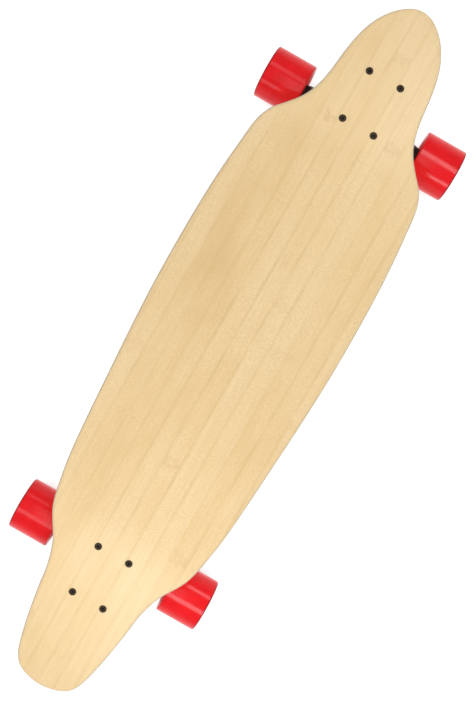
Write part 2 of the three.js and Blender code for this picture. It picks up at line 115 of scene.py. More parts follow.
RISER_CORNER, RISER_HOLE, RISER_BEVEL = 7 * MM, 2.7 * MM, 0.6 * MM
CASTING_VOXEL, QUICK_VOXEL = 0.85 * MM, 1.6 * MM
CASTING_KEEP = 0.4                       # share of the remeshed faces that stays
KINGPIN_ACROSS, KINGPIN_HEAD = 14.3 * MM, 6 * MM
KINGPIN_SHANK, KINGPIN_THREAD, KINGPIN_NUT_BORE = 4.76 * MM, 11 * MM, 4.85 * MM
BUSHING_BORE, BUSHING_BULGE, CONE_NOSE = 5 * MM, 0.7 * MM, 10 * MM
WASHER_BORE, WASHER_LIP, WASHER_WALL = 4.95 * MM, 1.8 * MM, 0.8 * MM
CUP_WALL, CUP_FLOOR = 2 * MM, 3 * MM
AXLE_RADIUS, AXLE_THREAD = 3.98 * MM, 12 * MM
AXLE_BORE = 4.06 * MM                    # of everything that sits on the axle
AXLE_NUT_ACROSS = 12.7 * MM
SPEED_WASHER, SPACER = 6.4 * MM, 5.4 * MM      # outer radii

TREAD_LIP = 1.4 * MM
DISH_EDGE, DISH_FLOOR, DISH_DEPTH = 26 * MM, 21.5 * MM, 6.5 * MM      # the hollow in a wheel's side face
RIBS, RIB_HALF, RIB_SLOPE = 9, math.radians(5), math.radians(3)
POCKET_DEPTH = 4.5 * MM                  # between the ribs of a hub
HUB_BORE = 8.5 * MM
SHIELD_IN, SHIELD_OUT, SHIELD_SINK = 6.1 * MM, 9.3 * MM, 0.35 * MM

# ------------------------------------------------------------------ measuring the CAD nodes


def node_points(node):
    mesh = frame["nodes"][node].data
    flat = np.zeros(len(mesh.vertices) * 3)
    mesh.vertices.foreach_get("co", flat)
    return np.unique(flat.reshape(-1, 3).round(7), axis=0)


def axis_place(origin, axis, across=ACROSS):
    """A frame whose Z runs along axis, with its X as near to across as it can be."""
    z = Vector(axis).normalized()
    x = (Vector(across) - z * z.dot(Vector(across))).normalized()
    y = z.cross(x)
    place = Matrix((x, y, z)).transposed().to_4x4()
    place.translation = origin
    return place


class RoundFit:
    """Where a turned CAD node lies: a frame on its axis, its two ends along it, and its largest radius."""

    def __init__(self, node, axis, origin=None):
        axis = Vector(axis).normalized()
        points = node_points(node)
        centre = Vector(points.mean(0)) if origin is None else Vector(origin)
        along = (points - np.array(centre)) @ np.array(axis)
        off = points - np.array(centre) - np.outer(along, np.array(axis))
        self.low, self.high = float(along.min()), float(along.max())
        self.radius = float(np.linalg.norm(off, axis=1).max())
        self.place = axis_place(centre, axis)


def upward_normal(node):
    """The area-weighted normal of a plate's upper face."""
    mesh = frame["nodes"][node].data
    total = Vector((0, 0, 0))
    for polygon in mesh.polygons:
        if polygon.normal.z > 0.9:
            total += polygon.normal * polygon.area
    return total.normalized()


# ------------------------------------------------------------------ mesh helpers

SMOOTH_ANGLE = math.radians(35)
DECK_SHARP = math.radians(28)


def finish_mesh(name, work, place, materials, sharp=SMOOTH_ANGLE):
    """Turns a bmesh into an object in the row frame, with its normals out and its creases kept."""
    bmesh.ops.recalc_face_normals(work, faces=work.faces)
    work.transform(place)
    mesh = bpy.data.meshes.new(name)
    work.to_mesh(mesh)
    work.free()
    mesh.shade_smooth()
    mesh.set_sharp_from_angle(angle=sharp)
    for material in materials:
        mesh.materials.append(material)
    piece = bpy.data.objects.new(name, mesh)
    bpy.context.scene.collection.objects.link(piece)
    return piece


def rounded(corners, radius, steps=3, closed=True):
    """A profile with each corner replaced by a small arc. A corner may name an arc of its own."""
    result = []
    count = len(corners)
    for i, corner in enumerate(corners):
        here = Vector(corner[:2])
        size = corner[2] if len(corner) > 2 else radius
        if size <= 0 or (not closed and i in (0, count - 1)):
            result.append(tuple(here))
            continue
        before = Vector(corners[i - 1][:2]) - here
        after = Vector(corners[(i + 1) % count][:2]) - here
        size = min(size, before.length * 0.45, after.length * 0.45)
        start = here + before.normalized() * size
        end = here + after.normalized() * size
        for step in range(steps + 1):
            t = step / steps
            result.append(tuple(start * (1 - t) ** 2 + here * (2 * t * (1 - t)) + end * t * t))
    return result


def revolve(name, profile, sides, place, materials, closed=True, pick=None, sharp=SMOOTH_ANGLE):
    """Turns a profile about Z. The profile is a list of (radius, height), or a function of the angle."""
    work = bmesh.new()
    columns, poles = [], {}
    for j in range(sides):
        angle = 2 * math.pi * j / sides
        ring = profile(angle) if callable(profile) else profile
        column = []
        for i, (radius, height) in enumerate(ring):
            if radius < 1e-6:
                if i not in poles:
                    poles[i] = work.verts.new((0, 0, height))
                column.append(poles[i])
            else:
                column.append(work.verts.new((radius * math.cos(angle), radius * math.sin(angle), height)))
        columns.append(column)
    count = len(columns[0])
    for j in range(sides):
        here, there = columns[j], columns[(j + 1) % sides]
        for i in range(count if closed else count - 1):
            k = (i + 1) % count
            corners = list(dict.fromkeys([here[i], there[i], there[k], here[k]]))
            if len(corners) > 2:
                face = work.faces.new(corners)
                if pick:
                    middle = face.calc_center_median()
                    face.material_index = pick(math.hypot(middle.x, middle.y), middle.z)
    return finish_mesh(name, work, place, materials, sharp)


def thread(radius, start, end, depth=0.35 * MM):
    """Points of a thread's outline from one height to another."""
    turns = max(1, round(abs(end - start) / THREAD_PITCH))
    points = []
    for turn in range(turns):
        height = start + (end - start) * turn / turns
        middle = start + (end - start) * (turn + 0.5) / turns
        points += [(radius, height), (radius - depth, middle)]
    return points


def hex_radius(across, angle):
    turn = (angle + math.pi / 6) % (math.pi / 3) - math.pi / 6
    return across / 2 / math.cos(turn)


def lock_nut(name, fit, across, bore, place, materials):
    """A hexagonal nut with chamfered corners and a round collar that holds a nylon ring."""
    height = fit.high - fit.low
    shoulder = fit.low + height * NUT_SHOULDER
    waist = across / 2 * NUT_WAIST
    collar = across / 2 * NUT_COLLAR
    ring = bore + NYLON_WALL

    def profile(angle):
        corner = hex_radius(across, angle)
        drop = (corner - waist) * 0.55
        return [
            (bore, fit.low + 0.4 * MM), (bore + 0.4 * MM, fit.low), (waist, fit.low),
            (corner, fit.low + drop), (corner, shoulder - drop), (waist, shoulder), (collar, shoulder),
            (collar, fit.high - 0.5 * MM), (collar - 0.4 * MM, fit.high - 0.1 * MM),
            (ring, fit.high - 0.1 * MM), (ring, fit.high - 0.5 * MM), (bore, fit.high - 0.5 * MM),
        ]

    def pick(radius, height):
        return 1 if radius < ring and height > shoulder else 0

    return revolve(name, profile, 48, place, materials, pick=pick)


def evaluated_copy(piece):
    """Replaces a piece's mesh with the result of its modifiers."""
    graph = bpy.context.evaluated_depsgraph_get()
    mesh = bpy.data.meshes.new_from_object(piece.evaluated_get(graph))
    piece.modifiers.clear()
    old = piece.data
    piece.data = mesh
    mesh.name = piece.name
    bpy.data.meshes.remove(old)
    return piece


def stand_for(piece, node, body):
    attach(piece, body)
    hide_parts(node)
    return piece


def spring_between(piece, node, low, high):
    """For a bushing: bakes its place into its mesh and hides the CAD node that it stands for."""
    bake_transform(piece)
    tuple(low)
    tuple(high)
    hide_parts(node)
    return piece


def extra(piece, body):
    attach(piece, body)
    return piece


# ------------------------------------------------------------------ material helpers


class Shader:
    """A material with one Principled shader and short calls for the nodes that feed it."""

    def __init__(self, name, **sockets):
        self.material = bpy.data.materials.new(name)
        self.material.use_nodes = True
        self.tree = self.material.node_tree
        self.surface = self.tree.nodes["Principled BSDF"]
        for socket, value in sockets.items():
            self.surface.inputs[socket.replace("_", " ")].default_value = value
        self.points = self.add("ShaderNodeTexCoord").outputs["Object"]

    def add(self, kind, **settings):
        node = self.tree.nodes.new(kind)
        for key, value in settings.items():
            setattr(node, key, value)
        return node

    def feed(self, value, socket):
        if isinstance(value, bpy.types.NodeSocket):
            self.tree.links.new(value, socket)
        else:
            socket.default_value = value

    def math(self, operation, a, b=0.0):
        node = self.add("ShaderNodeMath", operation=operation)
        self.feed(a, node.inputs[0])
        self.feed(b, node.inputs[1])
        return node.outputs[0]

    def times(self, a, b):
        return self.math("MULTIPLY", a, b)

    def plus(self, a, b):
        return self.math("ADD", a, b)

    def minus(self, a, b):
        return self.math("SUBTRACT", a, b)

    def axes(self, vector):
        node = self.add("ShaderNodeSeparateXYZ")
        self.feed(vector, node.inputs[0])
        return node.outputs[0], node.outputs[1], node.outputs[2]

    def vector(self, x, y, z=0.0):
        node = self.add("ShaderNodeCombineXYZ")
        for value, socket in zip((x, y, z), node.inputs):
            self.feed(value, socket)
        return node.outputs[0]

    def noise(self, vector, scale, detail=2.0, roughness=0.5):
        node = self.add("ShaderNodeTexNoise")
        self.feed(vector, node.inputs["Vector"])
        node.inputs["Scale"].default_value = scale
        node.inputs["Detail"].default_value = detail
        node.inputs["Roughness"].default_value = roughness
        return node.outputs["Fac"]

    def random(self, value):
        node = self.add("ShaderNodeTexWhiteNoise", noise_dimensions="1D")
        self.feed(value, node.inputs["W"])
        return node.outputs["Value"]

    def span(self, value, from_low, from_high, to_low=0.0, to_high=1.0, smooth=False):
        node = self.add("ShaderNodeMapRange")
        node.interpolation_type = "SMOOTHSTEP" if smooth else "LINEAR"
        for key, number in enumerate((from_low, from_high, to_low, to_high)):
            node.inputs[key + 1].default_value = number
        self.feed(value, node.inputs[0])
        return node.outputs[0]

    def mix(self, factor, a, b, blend="MIX"):
        node = self.add("ShaderNodeMix", data_type="RGBA", blend_type=blend)
        self.feed(factor, node.inputs[0])
        for value, socket in ((a, node.inputs[6]), (b, node.inputs[7])):
            self.feed((*value, 1.0) if isinstance(value, tuple) and len(value) == 3 else value, socket)
        return node.outputs[2]

    def ramp(self, value, stops, constant=False):
        node = self.add("ShaderNodeValToRGB")
        node.color_ramp.interpolation = "CONSTANT" if constant else "LINEAR"
        elements = node.color_ramp.elements
        while len(elements) < len(stops):
            elements.new(0.5)
        for element, (position, colour) in zip(elements, stops):
            element.position = position
            element.color = (*colour, 1.0)
        self.feed(value, node.inputs[0])
        return node.outputs[0]

    def bump(self, height, distance, strength=1.0, under=None):
        node = self.add("ShaderNodeBump")
        node.inputs["Strength"].default_value = strength
        node.inputs["Distance"].default_value = distance
        self.feed(height, node.inputs["Height"])
        if under is not None:
            self.feed(under, node.inputs["Normal"])
        return node.outputs["Normal"]

    def set(self, **sockets):
        for socket, value in sockets.items():
            self.feed(value, self.surface.inputs[socket.replace("_", " ")])
        return self


# ------------------------------------------------------------------ materials


def bamboo_material():
    """Strips of bamboo with soft glue joints, fibres, blotchy knuckles and grit; the edge shows the plies."""
    shader = Shader("bamboo", Specular_IOR_Level=0.2, Coat_Weight=0.04, Coat_Roughness=0.3)
    x, y, z = shader.axes(shader.points)
    ply = shader.add("ShaderNodeAttribute", attribute_name="ply").outputs["Fac"]
    under = shader.math("GREATER_THAN", ply, 0.5)
    side_shift = shader.times(under, 17.0)

    def cells(across, along, start=y):
        """Coordinates with so many cells per metre across and along the grain."""
        across_grain = shader.times(x, across)
        return shader.vector(across_grain, shader.times(start, along), side_shift)

    def stretched(across, along, detail=2.0, roughness=0.55):
        return shader.noise(cells(across, along, shifted), 1.0, detail, roughness)

    strips = shader.math("DIVIDE", shader.minus(x, STRIP_START), STRIP_WIDTH)
    index = shader.plus(shader.math("FLOOR", strips), side_shift)
    chance = shader.random(index)
    shifted = shader.plus(y, shader.times(chance, 3.0))
    nearest = shader.plus(shader.math("ROUND", strips), side_shift)
    to_joint = shader.times(shader.math("PINGPONG", strips, 0.5), STRIP_WIDTH)

    # The tone of each strip, the clouds in it and its fibres.
    broad = shader.noise(cells(11.0, 5.0), 1.0, 3.0, 0.6)
    clouds = stretched(34.0, 9.0, 3.0)
    count = len(STRIP_TONES)
    row = shader.math("DIVIDE", shader.plus(strips, count / 2), count)
    stops = [(i / count, (shade,) * 3) for i, shade in enumerate(STRIP_TONES)]
    chosen = shader.ramp(row, stops, constant=True)
    lasting = shader.times(chosen, shader.span(broad, 0.35, 0.65, 0.35, 1.0))
    tone = shader.plus(shader.times(lasting, 0.34), shader.times(clouds, 0.50))
    tone = shader.plus(tone, shader.times(broad, 0.28))
    face = shader.ramp(tone, [(0.35, (0.826, 0.637, 0.364)), (0.58, (0.780, 0.572, 0.294)),
                              (0.86, (0.694, 0.478, 0.213))])
    streaks = stretched(330.0, 4.5, 2.0, 0.5)
    face = shader.mix(shader.span(streaks, 0.38, 0.75, 0.0, 0.22), face, (0.640, 0.450, 0.230))
    fibres = stretched(1300.0, 30.0, 3.0, 0.6)
    face = shader.mix(shader.span(fibres, 0.35, 0.8, 0.0, 0.24), face, (0.580, 0.400, 0.200))

    # Growth rings: a soft brown blotch across one strip, strong in some places and nearly absent in others.
    ragged = stretched(160.0, 160.0, 3.0, 0.65)
    bent = shader.plus(shifted, shader.times(ragged, 34 * MM))
    beats = shader.math("DIVIDE", bent, KNUCKLE_SPACING)
    to_knuckle = shader.times(shader.math("PINGPONG", beats, 0.5), KNUCKLE_SPACING)
    luck = shader.random(shader.plus(shader.math("ROUND", beats), shader.times(index, 7.3)))
    strength = shader.span(luck, 0.35, 1.0, 0.05, 1.0)
    blotch = shader.span(shader.noise(shader.points, 150.0, 3.0, 0.65), 0.38, 0.62, 0.15, 1.0)
    ring = shader.span(to_knuckle, 0.5 * MM, 13 * MM, 0.52, 0.0, smooth=True)
    ring = shader.times(shader.times(ring, blotch), strength)
    pale = shader.times(shader.span(to_knuckle, 5 * MM, 26 * MM, 0.35, 0.0, smooth=True), strength)
    face = shader.mix(pale, face, (0.815, 0.625, 0.370))
    face = shader.mix(ring, face, (0.580, 0.350, 0.145))

    # A clear grip coat with fine grit lies over the standing area.
    distance = shader.math("ABSOLUTE", shader.minus(y, arch_middle))
    grip = shader.span(distance, GRIP_HALF_LENGTH - 40 * MM, GRIP_HALF_LENGTH, 1.0, 0.0, smooth=True)
    grip = shader.times(grip, shader.minus(1.0, under))
    grit = shader.noise(shader.points, 620.0, 3.0, 0.7)

    # Glue joints between the strips: some are strong, most come and go along the board.
    along_joint = shader.noise(shader.vector(nearest, shader.times(y, 16.0)), 1.0, 3.0, 0.65)
    joint_chance = shader.random(shader.plus(nearest, 0.5))
    joint = shader.span(to_joint, 0.1 * MM, 3.2 * MM, 0.62, 0.0, smooth=True)
    joint = shader.times(joint, shader.span(along_joint, 0.30, 0.68))
    joint = shader.times(joint, shader.span(joint_chance, 0.0, 1.0, 0.3, 0.85))
    joint = shader.times(joint, shader.span(grip, 0.0, 1.0, 0.6, 1.0))
    face = shader.mix(joint, face, (0.560, 0.375, 0.150))
    speck = shader.span(grit, 0.40, 0.64, 0.0, 0.52)
    speck = shader.times(speck, shader.span(grip, 0.0, 1.0, 0.4, 1.0))
    face = shader.mix(speck, face, (0.600, 0.425, 0.215))

    glue, pale_ply, mid_ply = (0.34, 0.25, 0.155), (0.74, 0.60, 0.40), (0.62, 0.48, 0.31)
    plies = shader.ramp(ply, [
        (0.0, pale_ply), (0.13, glue), (0.142, mid_ply), (0.31, glue), (0.322, pale_ply), (0.49, glue),
        (0.502, mid_ply), (0.67, glue), (0.682, pale_ply), (0.86, glue), (0.872, pale_ply),
    ], constant=True)
    scales = ((x, 90.0), (y, 90.0), (z, 2500.0))
    layers = shader.vector(*(shader.times(axis, scale) for axis, scale in scales))
    along_edge = shader.noise(layers, 1.0, 2.0)
    plies = shader.mix(shader.span(along_edge, 0.35, 0.85, 0.0, 0.35), plies, (0.42, 0.30, 0.18))
    from_face = shader.math("MINIMUM", ply, shader.minus(1.0, ply))
    colour = shader.mix(shader.span(from_face, 0.02, 0.06), face, plies)

    relief = shader.plus(shader.times(fibres, 0.35), shader.times(grit, grip))
    relief = shader.minus(relief, joint)
    rough = shader.plus(shader.span(fibres, 0.2, 0.8, 0.36, 0.48), shader.times(grip, 0.12))
    shader.set(Base_Color=colour, Roughness=rough, Normal=shader.bump(relief, 0.08 * MM, 0.6))
    return shader.material


def urethane_material():
    """Cast red urethane: a glossy tread, and painted shade on the lips and outer side faces, which get a deeper
    red that starts at the lips.
    """
    shader = Shader("red_urethane", Specular_IOR_Level=0.2, Coat_Weight=0.0)
    x, y, z = shader.axes(shader.points)
    outboard = shader.minus(shader.math("ABSOLUTE", x), wheel_middle)
    to_end = shader.minus(wheel_half_width, shader.math("ABSOLUTE", outboard))
    from_arch = shader.math("ABSOLUTE", shader.minus(y, arch_middle))
    along = shader.minus(from_arch, axle_reach)
    above = shader.minus(z, wheel_radius)
    squares = shader.plus(shader.times(along, along), shader.times(above, above))
    to_tread = shader.minus(wheel_radius, shader.math("SQRT", squares))
    # Painted shade: a mask for the lips and outer side faces, which are painted a deeper red to stand for the
    # shade and the dark floor reflection along a wheel's rims.
    side = shader.math("MAXIMUM", shader.span(to_end, 1.5 * MM, 2.1 * MM, 1.0, 0.0, smooth=True),
                       shader.span(to_tread, 1.0 * MM, 1.6 * MM, 0.0, 1.0, smooth=True))
    # The painted shade is weaker on the inboard side, where the deck and truck already shade the wheel.
    side = shader.times(side, shader.span(outboard, -1 * MM, 1 * MM, 0.25, 1.0))
    cloud = shader.noise(shader.points, 60.0, 2.0)
    wave = shader.noise(shader.points, 140.0, 2.0)
    dust = shader.noise(shader.points, 1600.0, 2.0)
    tread = shader.mix(shader.span(cloud, 0.3, 0.7), (0.730, 0.0085, 0.0125), (0.800, 0.0115, 0.0165))
    # The deeper red of the painted rim shade.
    faces = shader.mix(shader.span(cloud, 0.3, 0.7), (0.340, 0.0046, 0.0066), (0.400, 0.0060, 0.0085))
    gloss = shader.span(dust, 0.3, 0.8, 0.13, 0.24)
    shader.set(Base_Color=shader.mix(side, tread, faces))
    shader.set(Roughness=shader.plus(gloss, shader.times(side, 0.14)))
    shader.set(Normal=shader.bump(wave, 0.04 * MM, 0.25))
    return shader.material


def plastic_material(name, colour, roughness, grain=1200.0, specular=0.4):
    shader = Shader(name, Specular_IOR_Level=specular)
    fine = shader.noise(shader.points, grain, 2.0)
    wide = shader.noise(shader.points, 45.0, 2.0)
    paler = tuple(min(1.0, channel * 1.7 + 0.001) for channel in colour)
    shader.set(Base_Color=shader.mix(shader.span(wide, 0.35, 0.75, 0.0, 0.6), colour, paler))
    shader.set(Roughness=shader.span(fine, 0.25, 0.75, roughness - 0.07, roughness + 0.08))
    shader.set(Normal=shader.bump(fine, 0.02 * MM, 0.5))
    return shader.material


def paint_material():
    """Black powder coat on cast aluminium: orange-peel texture and a slight sheen."""
    shader = Shader("black_powder_coat", Metallic=0.0, Specular_IOR_Level=0.4, Coat_Weight=0.08,
                    Coat_Roughness=0.3)
    peel = shader.noise(shader.points, 700.0, 2.0, 0.45)
    wide = shader.noise(shader.points, 35.0, 3.0)
    worn = shader.span(wide, 0.3, 0.8)
    shader.set(Base_Color=shader.mix(worn, (0.006, 0.006, 0.0065), (0.014, 0.014, 0.0145)))
    shader.set(Roughness=shader.span(peel, 0.3, 0.7, 0.38, 0.52))
    shader.set(Normal=shader.bump(peel, 0.05 * MM, 0.5))
    return shader.material


def steel_material(name, colour, roughness, scratch=2400.0):
    """Turned or drawn steel with fine scratches and uneven polish."""
    shader = Shader(name, Metallic=1.0)
    fine = shader.noise(shader.points, scratch, 3.0, 0.6)
    wide = shader.noise(shader.points, 120.0, 2.0)
    darker = tuple(channel * 0.72 for channel in colour)
    shader.set(Base_Color=shader.mix(shader.span(wide, 0.3, 0.8, 0.0, 0.7), colour, darker))
    shader.set(Roughness=shader.span(fine, 0.25, 0.75, roughness - 0.06, roughness + 0.1))
    shader.set(Normal=shader.bump(fine, 0.01 * MM, 0.35))
    return shader.material


steer_front, steer_rear = (Vector(joints[name]["pos_m"]) for name in ("front_steer", "rear_steer"))
arch_middle = (steer_front.y + steer_rear.y) / 2
hub = Vector(joints["front_right_spin"]["pos_m"])
wheel_radius = hub.z
axle_reach = hub.y - arch_middle
tyre_low, tyre_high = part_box("front_right_tyre")
wheel_middle = (tyre_low.x + tyre_high.x) / 2
wheel_half_width = (tyre_high.x - tyre_low.x) / 2

BAMBOO = bamboo_material()
URETHANE = urethane_material()
PAINT = paint_material()
BLACK_OXIDE = plastic_material("black_oxide", (0.0055, 0.0045, 0.0036), 0.42, 1800.0, 0.12)
BOLT_FACE = plastic_material("bolt_face", (0.0330, 0.0200, 0.0085), 0.46, 1800.0, 0.12)
STEEL = steel_material("axle_steel", (0.58, 0.58, 0.59), 0.26)
BEARING_STEEL = steel_material("bearing_steel", (0.62, 0.62, 0.63), 0.16)
SHIELD = plastic_material("bearing_shield", (0.018, 0.018, 0.019), 0.42)
CORE = plastic_material("core_plastic", (0.016, 0.016, 0.017), 0.36)
RISER = plastic_material("riser_rubber", (0.014, 0.014, 0.014), 0.72, 500.0)
BUSHING = plastic_material("bushing_urethane", (0.030, 0.030, 0.032), 0.30)
PIVOT = plastic_material("pivot_plastic", (0.022, 0.022, 0.022), 0.5)
NYLON = plastic_material("nylon", (0.60, 0.60, 0.58), 0.45)

# ------------------------------------------------------------------ deck

platform = Vector(mounts["standing_platform"]["pos_m"])


def camber_drop(station):
    return CAMBER_RADIUS - np.sqrt(CAMBER_RADIUS**2 - station**2)


deck_top = platform.z + float(camber_drop(platform.y - arch_middle))


def deck_face(x, y, widest):
    """Height of the deck's upper face."""
    past = np.maximum(0, np.abs(x) - FLAT_HALF_WIDTH) / (widest - FLAT_HALF_WIDTH)
    return deck_top + RAIL_RISE * past**2 - camber_drop(y - arch_middle)


def deck_outline():
    """The right half of the CAD deck's outline, from tail tip to nose tip, evenly spaced by length."""
    points = node_points("deck")
    widest = points[:, 0].max()
    depth = deck_face(points[:, 0], points[:, 1], widest) - points[:, 2]
    half_way = np.abs(depth - DECK_THICKNESS / 2) < 0.25 * MM
    rail = points[half_way & (points[:, 0] > 0)][:, :2]
    rail = rail[np.argsort(rail[:, 1])]
    reach = max(abs(cad_low.y), cad_high.y)
    knots = np.vstack([[0, -reach], rail[np.abs(rail[:, 1]) < reach - 0.2 * MM], [0, reach]])
    mirror = knots[1:3] * (-1, 1)
    end_mirror = knots[-3:-1] * (-1, 1)
    path = np.vstack([mirror[::-1], knots, end_mirror[::-1]])
    fine = []
    for i in range(2, len(path) - 3):
        fine += spline_step(*path[i - 1:i + 3], 12)
    fine.append(path[-3])
    fine = np.array(fine)
    length = np.concatenate([[0], np.cumsum(np.linalg.norm(np.diff(fine, axis=0), axis=1))])
    wanted = np.linspace(0, length[-1], DECK_STATIONS + 1)
    even = np.stack([np.interp(wanted, length, fine[:, k]) for k in (0, 1)], 1)
    return even, widest


def spline_step(a, b, c, d, steps):
    """Points of a centripetal Catmull-Rom curve from b towards c."""
    times = [0.0]
    for first, second in ((a, b), (b, c), (c, d)):
        times.append(times[-1] + max(np.linalg.norm(second - first), 1e-9) ** 0.5)
    result = []
    for t in np.linspace(times[1], times[2], steps, endpoint=False):
        level = [a, b, c, d]
        for order in (1, 2, 3):
            if order == 1:
                spans = [(0, 1), (1, 2), (2, 3)]
            elif order == 2:
                spans = [(0, 2), (1, 3)]
            else:
                spans = [(1, 2)]
            level = [
                (level[i] * (times[high] - t) + level[i + 1] * (t - times[low])) / (times[high] - times[low])
                for i, (low, high) in enumerate(spans)
            ]
        result.append(level[0])
    return result


def deck_mesh():
    """A grid on each face and a rounded edge between them, following the outline all the way round."""
    half, widest = deck_outline()
    ahead = np.vstack([half[1:], half[-1] * (1, 1)])
    behind = np.vstack([half[0] * (1, 1), half[:-1]])
    ahead[-1] = half[-2] * (-1, 1)
    behind[0] = half[1] * (-1, 1)
    run = ahead - behind
    run /= np.linalg.norm(run, axis=1)[:, None]
    inward = np.stack([-run[:, 1], run[:, 0]], 1)
    work = bmesh.new()
    ply = work.verts.layers.float.new("ply")

    def vertex(x, y, share):
        top = float(deck_face(np.float64(x), np.float64(y), widest))
        made = work.verts.new((x, y, top - share * DECK_THICKNESS))
        made[ply] = share
        return made

    count = len(half)
    turns = [math.pi * step / EDGE_STEPS - math.pi / 2 for step in range(EDGE_STEPS + 1)]
    rings = []
    for turn in turns:
        inset = EDGE_ROUND * (1 - math.cos(turn))
        share = 0.5 + 0.5 * math.sin(turn)
        right = half + inward * inset
        right[0, 0] = right[-1, 0] = 0
        ring = [vertex(x, y, share) for x, y in right]
        ring += [vertex(-x, y, share) for x, y in right[-2:0:-1]]
        rings.append(ring)
    around = len(rings[0])
    for upper, lower in zip(rings, rings[1:]):
        for i in range(around):
            k = (i + 1) % around
            work.faces.new([upper[i], lower[i], lower[k], upper[k]])
    for ring, share in ((rings[0], 0.0), (rings[-1], 1.0)):
        rows = [[ring[0]]]
        for i in range(1, count - 1):
            right, left = ring[i], ring[around - i]
            inner = []
            for column in range(1, DECK_COLUMNS):
                x = right.co.x * (1 - 2 * column / DECK_COLUMNS)
                inner.append(vertex(x, right.co.y, share))
            rows.append([right, *inner, left])
        rows.append([ring[count - 1]])
        for near, far in zip(rows, rows[1:]):
            if len(near) == 1 or len(far) == 1:
                tip, row = (near[0], far) if len(near) == 1 else (far[0], near)
                for a, b in zip(row, row[1:]):
                    work.faces.new([tip, a, b])
                continue
            for column in range(DECK_COLUMNS):
                work.faces.new([near[column], near[column + 1], far[column + 1], far[column]])
    return work


def bolt_cutter(end, number):
    """The countersunk hole of one truck bolt, as a solid to cut with."""
    fit = bolt_fit(end, number)
    mouth = fit.radius + COUNTERSINK_GAP
    top = fit.high + COUNTERSINK_GAP
    spare = 4 * MM
    foot = top - DECK_THICKNESS - spare
    profile = [
        (0, foot), (BOLT_HOLE, foot), (BOLT_HOLE, top - (mouth - BOLT_HOLE)), (mouth, top),
        (mouth, top + spare), (0, top + spare),
    ]
    return revolve(f"cutter_{end}_{number}", profile, 40, fit.place, [BAMBOO], closed=False)


def make_deck():
    deck = finish_mesh("deck_laminate", deck_mesh(), Matrix.Identity(4), [BAMBOO], DECK_SHARP)
    cutters = [bolt_cutter(end, number) for end in ENDS for number in range(1, 5)]
    for cutter in cutters:
        hole = deck.modifiers.new("hole", "BOOLEAN")
        hole.object = cutter
        hole.operation = "DIFFERENCE"
        hole.solver = "EXACT"
    evaluated_copy(deck)
    for cutter in cutters:
        bpy.data.objects.remove(cutter)
    deck.data.set_sharp_from_angle(angle=DECK_SHARP)
    stand_for(deck, "deck", "board")


# ------------------------------------------------------------------ bolts through the deck


def pad_normal(end):
    return upward_normal(f"{end}_riser_pad")


def bolt_fit(end, number):
    return RoundFit(f"{end}_bolt_{number}", pad_normal(end))


def make_bolt(end, number):
    """A flat-head machine screw with a hexagon socket and a threaded end."""
    fit = bolt_fit(end, number)
    head, shank = fit.radius, BOLT_SHANK
    neck = fit.high - (head - shank)
    floor = fit.high - SOCKET_DEPTH
    tip = fit.low

    def profile(angle):
        opening = hex_radius(SOCKET_ACROSS, angle)
        outside = [
            (0, tip), (shank - 0.5 * MM, tip), *thread(shank, tip + 0.5 * MM, tip + BOLT_THREAD, 0.28 * MM),
            (shank, tip + BOLT_THREAD + 0.2 * MM), (shank, neck - 0.3 * MM),
            (head - 0.25 * MM, fit.high - 0.45 * MM),
            (head, fit.high - 0.2 * MM), (head - 0.2 * MM, fit.high),
        ]
        socket = [(opening + 0.25 * MM, fit.high), (opening, fit.high - 0.25 * MM), (opening, floor)]
        return [*outside, *socket, (0, floor - 0.5 * MM)]

    def pick(radius, height):
        return 1 if radius > SOCKET_ACROSS / 2 and height > fit.high - 0.15 * MM else 0

    materials = [BLACK_OXIDE, BOLT_FACE]
    bolt = revolve(f"{end}_bolt_{number}_screw", profile, 48, fit.place, materials, closed=False, pick=pick)
    stand_for(bolt, f"{end}_bolt_{number}", "board")


def make_bolt_nut(end, number):
    fit = RoundFit(f"{end}_nut_{number}", -pad_normal(end))
    materials = [BLACK_OXIDE, NYLON]
    nut = lock_nut(f"{end}_nut_{number}_lock", fit, BOLT_NUT_ACROSS, BOLT_NUT_BORE, fit.place, materials)
    stand_for(nut, f"{end}_nut_{number}", "board")


# ------------------------------------------------------------------ truck


def rounded_plate(name, place, width, length, corner, thickness, holes, hole_radius, bevel, material):
    """A flat plate with round corners and holes. It comes from a filled curve and is centred on its place."""
    curve = bpy.data.curves.new(name, "CURVE")
    curve.dimensions = "2D"
    curve.fill_mode = "BOTH"
    curve.extrude = thickness / 2 - bevel
    curve.bevel_depth = bevel
    curve.bevel_resolution = 3
    x, y = width / 2 - bevel, length / 2 - bevel
    outline = []
    for sign_x, sign_y, start in ((1, 1, 0), (-1, 1, 90), (-1, -1, 180), (1, -1, 270)):
        for step in range(9):
            turn = math.radians(start + 90 * step / 8)
            outline.append((sign_x * (x - corner) + corner * math.cos(turn),
                            sign_y * (y - corner) + corner * math.sin(turn)))
    loops = [outline]
    for hole_x, hole_y in holes:
        turns = [2 * math.pi * step / 32 for step in range(32)]
        radius = hole_radius + bevel
        loops.append([(hole_x + radius * math.cos(turn), hole_y + radius * math.sin(turn)) for turn in turns])
    for loop in loops:
        spline = curve.splines.new("POLY")
        spline.points.add(len(loop) - 1)
        for point, (a, b) in zip(spline.points, loop):
            point.co = (a, b, 0, 1)
        spline.use_cyclic_u = True
    source = bpy.data.objects.new(name + "_curve", curve)
    bpy.context.scene.collection.objects.link(source)
    graph = bpy.context.evaluated_depsgraph_get()
    mesh = bpy.data.meshes.new_from_object(source.evaluated_get(graph))
    bpy.data.objects.remove(source)
    work = bmesh.new()
    work.from_mesh(mesh)
    bmesh.ops.remove_doubles(work, verts=work.verts, dist=1e-6)
    bpy.data.meshes.remove(mesh)
    return finish_mesh(name, work, place, [material])


def plate_place(node, normal):
    """A frame at the middle of a plate that is the same both ways, with its thickness along Z."""
    low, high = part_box(node)
    return axis_place((low + high) / 2, normal)


